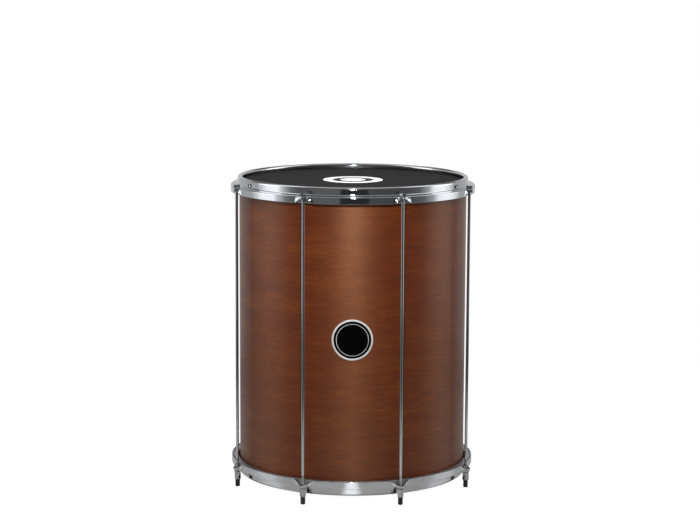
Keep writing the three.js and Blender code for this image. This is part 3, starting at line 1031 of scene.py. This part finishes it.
bm = bmesh.new()
bmesh.ops.create_circle(bm, cap_ends=True, segments=96, radius=FLOOR_DEPTH / 2)
bmesh.ops.scale(bm, vec=(FLOOR_WIDTH / FLOOR_DEPTH, 1, 1), verts=bm.verts[:])
floor = bpy.data.objects.new("studio_floor", as_mesh(bm, "studio_floor"))
floor.data.materials.append(floor_paint("pale_studio_floor", glow_on_floor=0.0))
bpy.context.scene.collection.objects.link(floor)

# This card is no lamp; its glow is a painted strip of light on the floor, seen only in reflections.
bm = bmesh.new()
outline = (
    (-CARD_HALF, GLOW_FRONT),
    (CARD_HALF, GLOW_FRONT),
    (CARD_HALF, GLOW_BACK),
    (-CARD_HALF, GLOW_BACK),
)
bm.faces.new([bm.verts.new((x, y, 0.5 * MM)) for x, y in outline])
card = bpy.data.objects.new("light_on_floor", as_mesh(bm, "light_on_floor"))
card.data.materials.append(floor_paint("light_on_floor", glow_on_floor=0.8))
bpy.context.scene.collection.objects.link(card)
print("floor is", FLOOR_WIDTH, "m wide and", FLOOR_DEPTH, "m deep")

# %% [markdown]
# ## Studio
#
# The world does three jobs. The camera sees plain white. Matte surfaces get an even, moderate light.
# Chrome needs something to mirror, so glossy rays see the walls of a studio: dark in front, with bright
# panels at both sides and pale behind. Panels built as meshes would have to be kept out of the picture,
# so the walls are a ramp round the azimuth instead. Two more ramps over the height bring in the ceiling,
# one for the back and one for the front.

# %% Studio
WHITE = linear("#ffffff")
scene = bpy.context.scene
scene.view_settings.view_transform = "Standard"
world = bpy.data.worlds.new("studio")
world.use_nodes = True
scene.world = world
tree = world.node_tree
tree.nodes.clear()
direction = add(tree, "SeparateXYZ", {"Vector": add(tree, "TexCoord").outputs["Generated"]})
ahead = add(tree, "Math", {0: direction.outputs["Y"], 1: -1.0}, operation="MULTIPLY")
azimuth = add(tree, "Math", {0: direction.outputs["X"], 1: ahead.outputs["Value"]}, operation="ARCTAN2")
around = add(tree, "MapRange", {"Value": azimuth.outputs["Value"], "From Min": -math.pi, "From Max": math.pi})
wall_light = [
    (-180, 0.40), (-160, 0.44), (-150, 0.36), (-130, 0.36), (-110, 0.34), (-102, 0.62), (-94, 0.98),
    (-80, 1.0), (-74, 0.50), (-65, 0.16), (-55, 0.08), (-30, 0.10), (-13, 0.095), (-11, 0.02), (14, 0.02),
    (15, 0.065), (36, 0.055), (56, 0.065), (70, 0.11), (80, 0.33), (87, 0.88), (100, 1.0), (110, 0.78),
    (118, 0.38), (130, 0.34), (148, 0.36), (162, 0.43), (180, 0.40),
]
walls = add(
    tree,
    "ValToRGB",
    {"Fac": around.outputs["Result"]},
    stops=[((degrees + 180) / 360, (light, light, light, 1)) for degrees, light in wall_light],
)
back_sky = [
    (0.0, 0.42), (0.24, 0.38), (0.42, 0.24), (0.49, 0.06), (0.56, 0.06), (0.66, 0.22), (0.85, 0.40),
]
front_sky = [(0.0, 0.20), (0.25, 0.14), (0.45, 0.09), (0.55, 0.04), (0.78, 0.04), (0.88, 0.30)]
skies = [
    add(
        tree,
        "ValToRGB",
        {"Fac": direction.outputs["Z"]},
        stops=[(height, (light, light, light, 1)) for height, light in sky_light],
    ).outputs["Color"]
    for sky_light in (back_sky, front_sky)
]
forwards = add(tree, "MapRange", {"Value": direction.outputs["Y"], "From Min": 0.3, "From Max": -0.3})
sky = add(
    tree, "Mix", {"Factor": forwards.outputs["Result"], "A": skies[0], "B": skies[1]}, data_type="RGBA"
)
rising = add(tree, "MapRange", {"Value": direction.outputs["Z"], "From Min": 0.28, "From Max": 0.42})
studio = add(
    tree,
    "Mix",
    {"Factor": rising.outputs["Result"], "A": walls.outputs["Color"], "B": sky.outputs["Result"]},
    data_type="RGBA",
)
path = add(tree, "LightPath")
for_matte = add(tree, "Background", {"Color": WHITE, "Strength": 0.11})
for_gloss = add(tree, "Background", {"Color": studio.outputs["Result"], "Strength": 1.4})
for_camera = add(tree, "Background", {"Color": WHITE, "Strength": 1.0})
lit = add(
    tree,
    "MixShader",
    {
        0: path.outputs["Is Glossy Ray"],
        1: for_matte.outputs["Background"],
        2: for_gloss.outputs["Background"],
    },
)
seen = add(
    tree,
    "MixShader",
    {0: path.outputs["Is Camera Ray"], 1: lit.outputs["Shader"], 2: for_camera.outputs["Background"]},
)
add(tree, "OutputWorld", {"Surface": seen.outputs["Shader"]})
print("wall lights:", len(wall_light))

# %% [markdown]
# ## Lamps
#
# A narrow strip light stands close in front, a little higher than the drum. It leaves the vertical sheen
# down the middle of the shell, stronger at the top, and a small bright spot on each rounded edge of the
# chrome. Two softboxes stand at the sides and give the pale sheens there. Two fills light the wood's
# sides, and a third softbox hangs overhead and whitens the print on the head. Area lamps are used,
# because a soft sheen needs a wide source, and each one's visibility flag says whether chrome sees it.

# %% Lamps
MIRRORED_LAMPS = ("front_strip", "left_softbox", "right_softbox")
for name, size, energy, spot, target in (
    ("front_strip", (0.04, 0.14), 6.4, (0.0, -0.98, 0.88), (0, 0, 0.46)),
    ("left_softbox", (0.7, 1.6), 3.5, (-1.15, -0.05, 1.3), (0, 0, 0.6)),
    ("right_softbox", (0.7, 1.6), 3.5, (1.15, 0.15, 1.3), (0, 0, 0.6)),
    ("left_fill", (0.5, 0.5), 6.0, (-0.85, -0.15, 1.5), (0, 0, 0.6)),
    ("right_fill", (0.5, 0.5), 4.4, (0.9, 0.3, 1.5), (0, 0, 0.6)),
    ("overhead_softbox", (2.0, 2.0), 26, (0.0, -0.2, 2.3), (0, 0, 0)),
):
    lamp_data = bpy.data.lights.new(name, "AREA")
    lamp_data.shape = "RECTANGLE"
    lamp_data.size, lamp_data.size_y = size
    lamp_data.energy = energy
    lamp = bpy.data.objects.new(name, lamp_data)
    scene.collection.objects.link(lamp)
    lamp.location = spot
    lamp.rotation_euler = (Vector(target) - lamp.location).to_track_quat("-Z", "Y").to_euler()
    lamp.visible_glossy = name in MIRRORED_LAMPS
    print(name, "at", spot)
